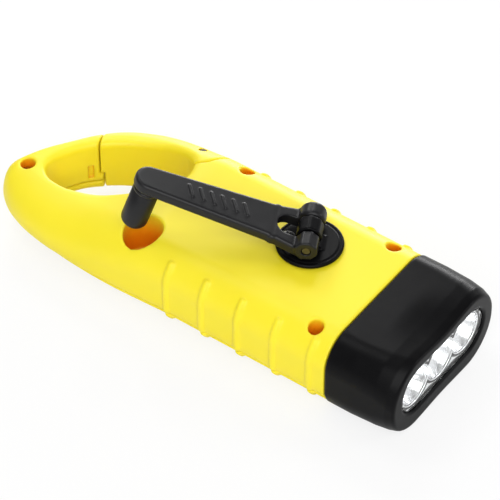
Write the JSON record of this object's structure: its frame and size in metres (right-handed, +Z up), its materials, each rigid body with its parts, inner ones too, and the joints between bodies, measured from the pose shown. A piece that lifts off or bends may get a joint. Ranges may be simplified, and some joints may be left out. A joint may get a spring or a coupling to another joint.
{
  "type": "hand crank flashlight",
  "caption": "Flat hand crank flashlight with a wide lamp hood, a folding crank on top, ribbed grip sides and a carabiner ring with a sprung gate at its tail.",
  "frame": {"origin": "on the flat underside, at the middle of the case's width and near the crank", "axes": "+X towards the lamps, +Y towards the gate's side, +Z up through the crank hub"},
  "size_m": [0.1372, 0.0506, 0.045],
  "materials": {
    "case_yellow": "satin, bright yellow",
    "gate_yellow": "satin, bright yellow",
    "black_plastic": "satin black",
    "arm_black": "satin black",
    "steel": "bright zinc",
    "bright_metal": "vacuum metallised, mirror bright",
    "clear_plastic": "clear, polished",
    "led_clear": "clear resin",
    "board_green": "solder mask green",
    "gear_white": "natural acetal",
    "frame_grey": "plain grey",
    "copper": "enamelled copper winding",
    "magnet_grey": "plated ferrite",
    "cell_green": "printed sleeve, plain"
  },
  "bodies": {
    "case": {"upper_shell": "case_yellow", "lower_shell": "case_yellow", "knob_seat": "case_yellow", "case_screw_front_far": "steel", "case_screw_front_near": "steel", "case_screw_rear": "steel", "case_screw_tail": "steel", "gate_pin": "steel", "gate_spring": "steel", "hood": "black_plastic", "front_lens": "clear_plastic", "reflector": "bright_metal", "led_1": "led_clear", "led_2": "led_clear", "led_3": "led_clear", "led_board": "board_green", "idler_gear_1_axle": "steel", "idler_gear_2_axle": "steel", "stator": "copper", "gear_frame": "frame_grey", "main_board": "board_green", "controller_chip": "black_plastic", "cell_1": "cell_green", "cell_2": "cell_green", "cell_3": "cell_green", "switch_body": "black_plastic"},
    "gate": {"gate": "gate_yellow"},
    "crank": {"crank_hub": "black_plastic", "hub_screw": "steel", "hinge_pin": "steel", "drive_shaft": "steel", "drive_gear": "gear_white"},
    "arm": {"crank_arm": "arm_black", "knob_pin": "steel"},
    "knob": {"knob": "arm_black"},
    "idler_1": {"idler_gear_1": "gear_white"},
    "idler_2": {"idler_gear_2": "gear_white"},
    "rotor": {"rotor_pinion": "gear_white", "rotor_shaft": "steel", "rotor_magnet": "magnet_grey"},
    "button": {"power_button": "black_plastic"}
  },
  "joints": [
    {"name": "crank_spin", "type": "hinge", "parent": "case", "child": "crank", "pos_m": [-0.0015, 0.0045, 0.026], "axis": [0, 0, 1], "continuous": true},
    {"name": "crank_fold", "type": "hinge", "parent": "crank", "child": "arm", "pos_m": [-0.0015, 0.0045, 0.0304], "axis": [-0.457, 0.8895, 0], "range_deg": [-17.87, 162.13]},
    {"name": "knob_spin", "type": "hinge", "parent": "arm", "child": "knob", "pos_m": [-0.03926, -0.0149, 0.04408], "axis": [0.2729, 0.1402, 0.9518], "continuous": true},
    {"name": "gate_swing", "type": "hinge", "parent": "case", "child": "gate", "pos_m": [-0.04839, 0.0196, 0.014], "axis": [0, 0, 1], "range_deg": [0, 25], "stiffness_Nm_per_rad": 0.05, "springref_deg": -20.05},
    {"name": "power_button", "type": "slide", "parent": "case", "child": "button", "axis": [0, -1, 0], "range_m": [0, 0.0012], "stiffness_N_per_m": 800, "springref_m": -0.001},
    {"name": "idler_1_spin", "type": "hinge", "parent": "case", "child": "idler_1", "pos_m": [-0.01281, -0.00681, 0.017], "axis": [0, 0, 1], "continuous": true},
    {"name": "idler_2_spin", "type": "hinge", "parent": "case", "child": "idler_2", "pos_m": [-0.00154, -0.01092, 0.015], "axis": [0, 0, 1], "continuous": true},
    {"name": "rotor_spin", "type": "hinge", "parent": "case", "child": "rotor", "pos_m": [0.00786, -0.0075, 0.008], "axis": [0, 0, 1], "continuous": true}
  ],
  "couplings": [
    {"joint": "idler_1_spin", "follows": "crank_spin", "ratio": -3},
    {"joint": "idler_2_spin", "follows": "crank_spin", "ratio": 9},
    {"joint": "rotor_spin", "follows": "crank_spin", "ratio": -27}
  ]
}
